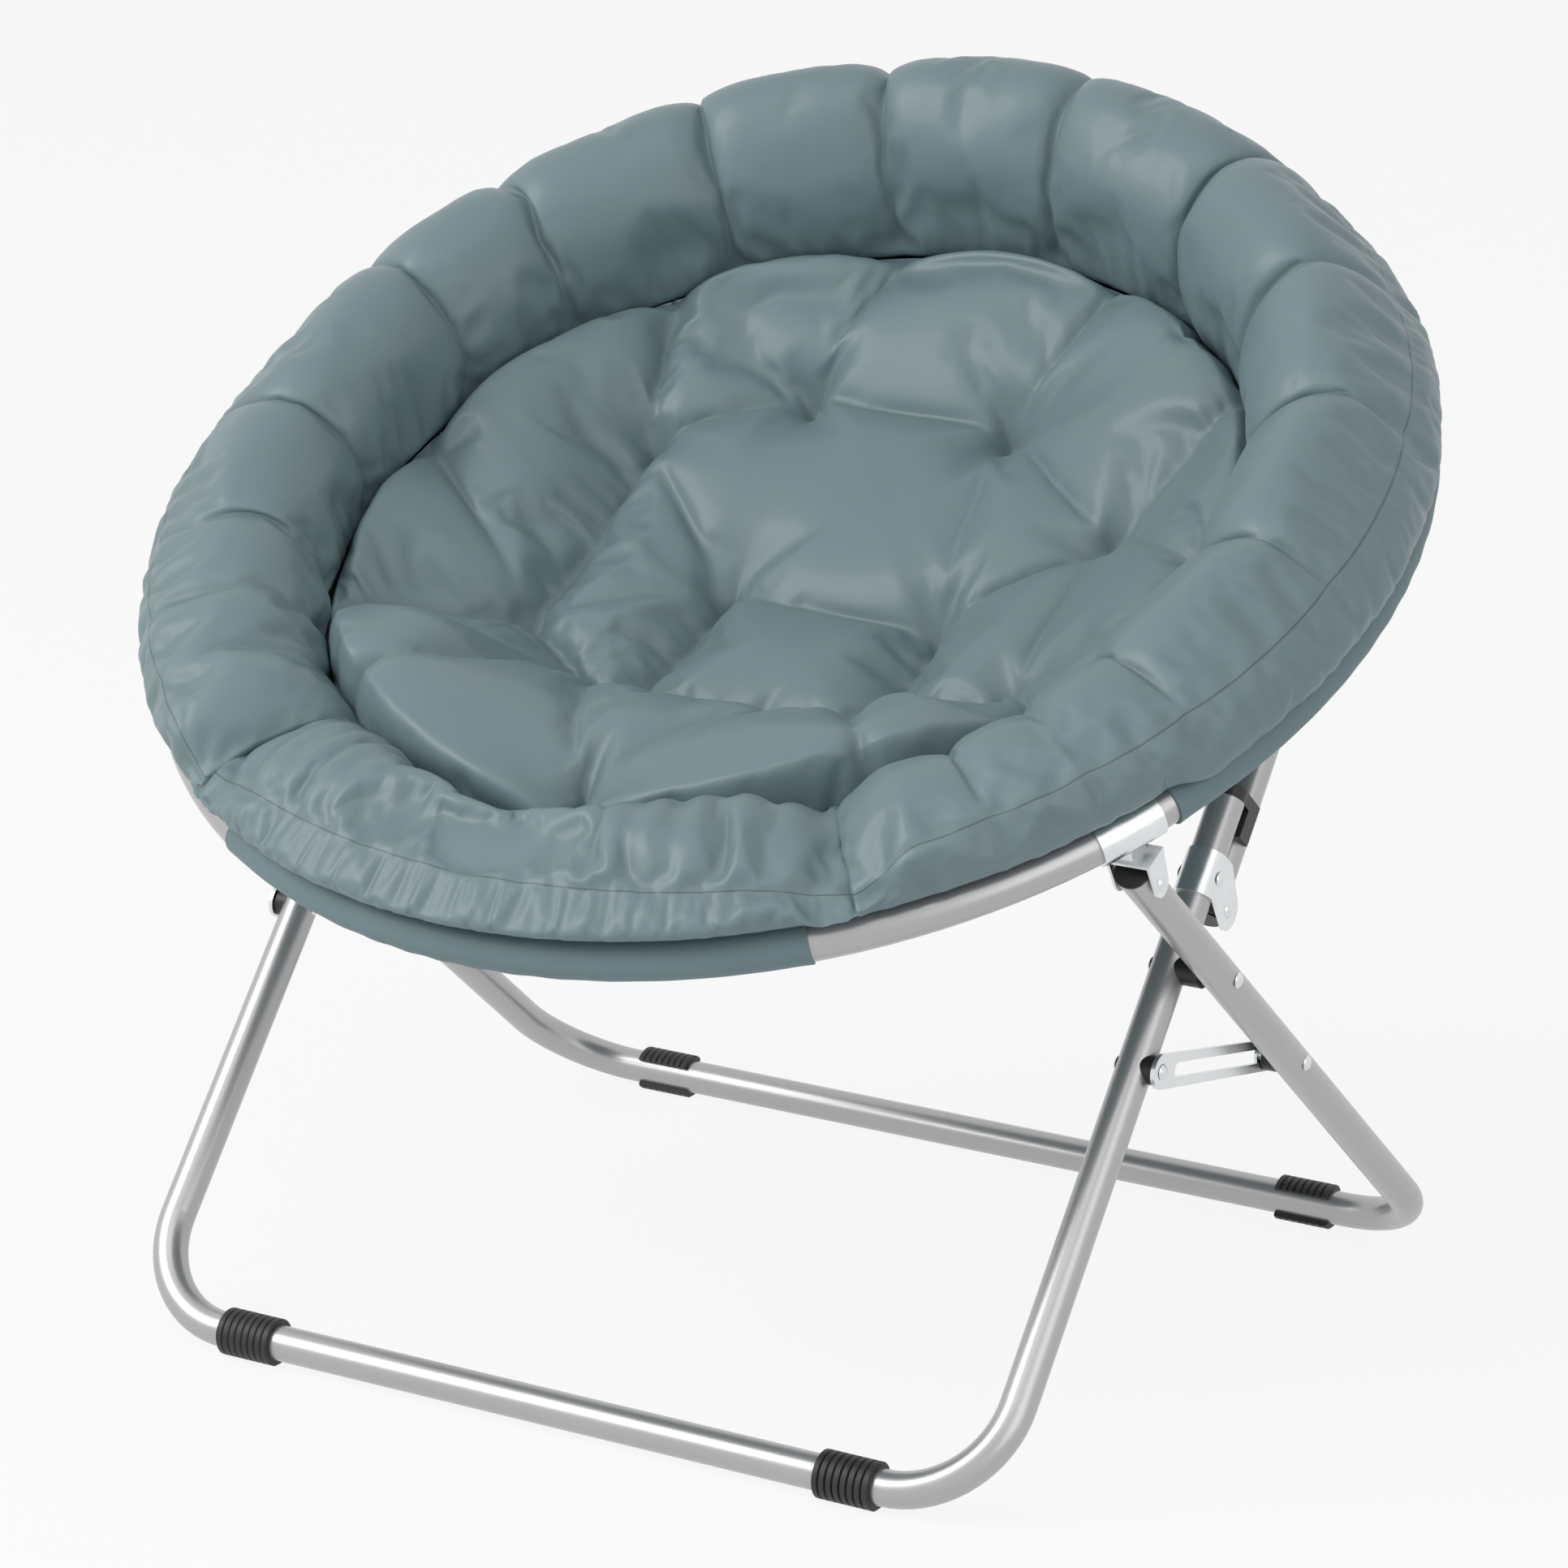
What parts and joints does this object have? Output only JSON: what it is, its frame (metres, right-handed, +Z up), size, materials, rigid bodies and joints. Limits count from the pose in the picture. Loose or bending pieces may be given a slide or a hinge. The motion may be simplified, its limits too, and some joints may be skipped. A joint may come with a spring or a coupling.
{
  "type": "folding saucer chair",
  "caption": "Padded round seat in a steel hoop on two crossed U legs that fold flat about side pivots.",
  "frame": {"origin": "on the floor, under the middle of the chair's box", "axes": "+X to the sitter's left, +Y to the back, +Z up"},
  "size_m": [0.9094, 0.8305, 0.8275],
  "materials": {
    "silver_paint": "satin silver powder coat",
    "zinc_plate": "bright zinc plate",
    "rivet_steel": "bright",
    "black_rubber": "moulded",
    "black_plastic": "moulded",
    "sling_cloth": "coated cloth",
    "cushion_cover": "matt faux leather over fibre filling"
  },
  "bodies": {
    "front_frame": {"front_base": "silver_paint", "cross_rivets": "rivet_steel", "link_rivets": "rivet_steel", "knuckle_rivets": "rivet_steel", "strut_foot_rivets": "rivet_steel", "front_leg_right": "silver_paint", "front_leg_left": "silver_paint", "front_foot_right": "black_rubber", "front_foot_left": "black_rubber", "leg_cap_right": "black_plastic", "leg_cap_left": "black_plastic", "knuckle_right": "zinc_plate", "knuckle_left": "zinc_plate", "cross_spacer_right": "black_plastic", "cross_spacer_left": "black_plastic", "link_spacer_right": "black_plastic", "link_spacer_left": "black_plastic"},
    "rear_frame": {"rear_base": "silver_paint", "slot_studs": "rivet_steel", "rear_leg_right": "silver_paint", "rear_leg_left": "silver_paint", "rear_leg_plug_right": "black_plastic", "rear_leg_plug_left": "black_plastic", "rear_upper_pad_right": "black_rubber", "rear_upper_pad_left": "black_rubber", "rear_lower_pad_right": "black_rubber", "rear_lower_pad_left": "black_rubber", "slot_spacer_right": "black_plastic", "slot_spacer_left": "black_plastic"},
    "struts": {"strut_right": "silver_paint", "strut_left": "silver_paint", "strut_foot_plug_right": "black_plastic", "strut_foot_plug_left": "black_plastic"},
    "hoop": {"hoop_front": "silver_paint", "hoop_rear": "silver_paint", "bracket_screws": "rivet_steel", "front_bracket_rivets": "rivet_steel", "rear_bracket_rivets": "rivet_steel", "sling": "sling_cloth", "front_sleeve": "sling_cloth", "rear_sleeve": "sling_cloth", "seat_pad": "cushion_cover", "rim_roll": "cushion_cover", "front_flap": "cushion_cover", "front_bracket_right": "zinc_plate", "front_bracket_left": "zinc_plate", "rear_bracket_right": "zinc_plate", "rear_bracket_left": "zinc_plate"},
    "links": {"link_right": "zinc_plate", "link_left": "zinc_plate"},
    "slot_blocks": {"slot_block_right": "zinc_plate", "slot_block_left": "zinc_plate"}
  },
  "joints": [
    {"name": "leg_fold", "type": "hinge", "parent": "front_frame", "child": "rear_frame", "pos_m": [0, -0.06716, 0.31278], "axis": [-1, 0, 0], "range_deg": [0, 94], "deforming": ["sling"]},
    {"name": "strut_swing", "type": "hinge", "parent": "front_frame", "child": "struts", "pos_m": [0, -0.00898, 0.3388], "axis": [-1, 0, 0], "range_deg": [0, 159.01]},
    {"name": "hoop_turn", "type": "hinge", "parent": "struts", "child": "hoop", "pos_m": [0, 0.24969, 0.62531], "axis": [1, 0, 0], "range_deg": [0, 20.27]},
    {"name": "link_swing", "type": "hinge", "parent": "front_frame", "child": "links", "pos_m": [0, -0.11443, 0.25715], "axis": [-1, 0, 0], "range_deg": [0, 124.3]},
    {"name": "slot_slide", "type": "slide", "parent": "links", "child": "slot_blocks", "axis": [0, -0.9743, 0.2252], "range_m": [0, 0.09088]}
  ],
  "couplings": [
    {"joint": "strut_swing", "follows": "leg_fold", "ratio": 1.6914},
    {"joint": "hoop_turn", "follows": "leg_fold", "ratio": 0.21547},
    {"joint": "link_swing", "follows": "leg_fold", "ratio": 1.3221},
    {"joint": "slot_slide", "follows": "leg_fold", "m_per_rad": 0.055363}
  ]
}
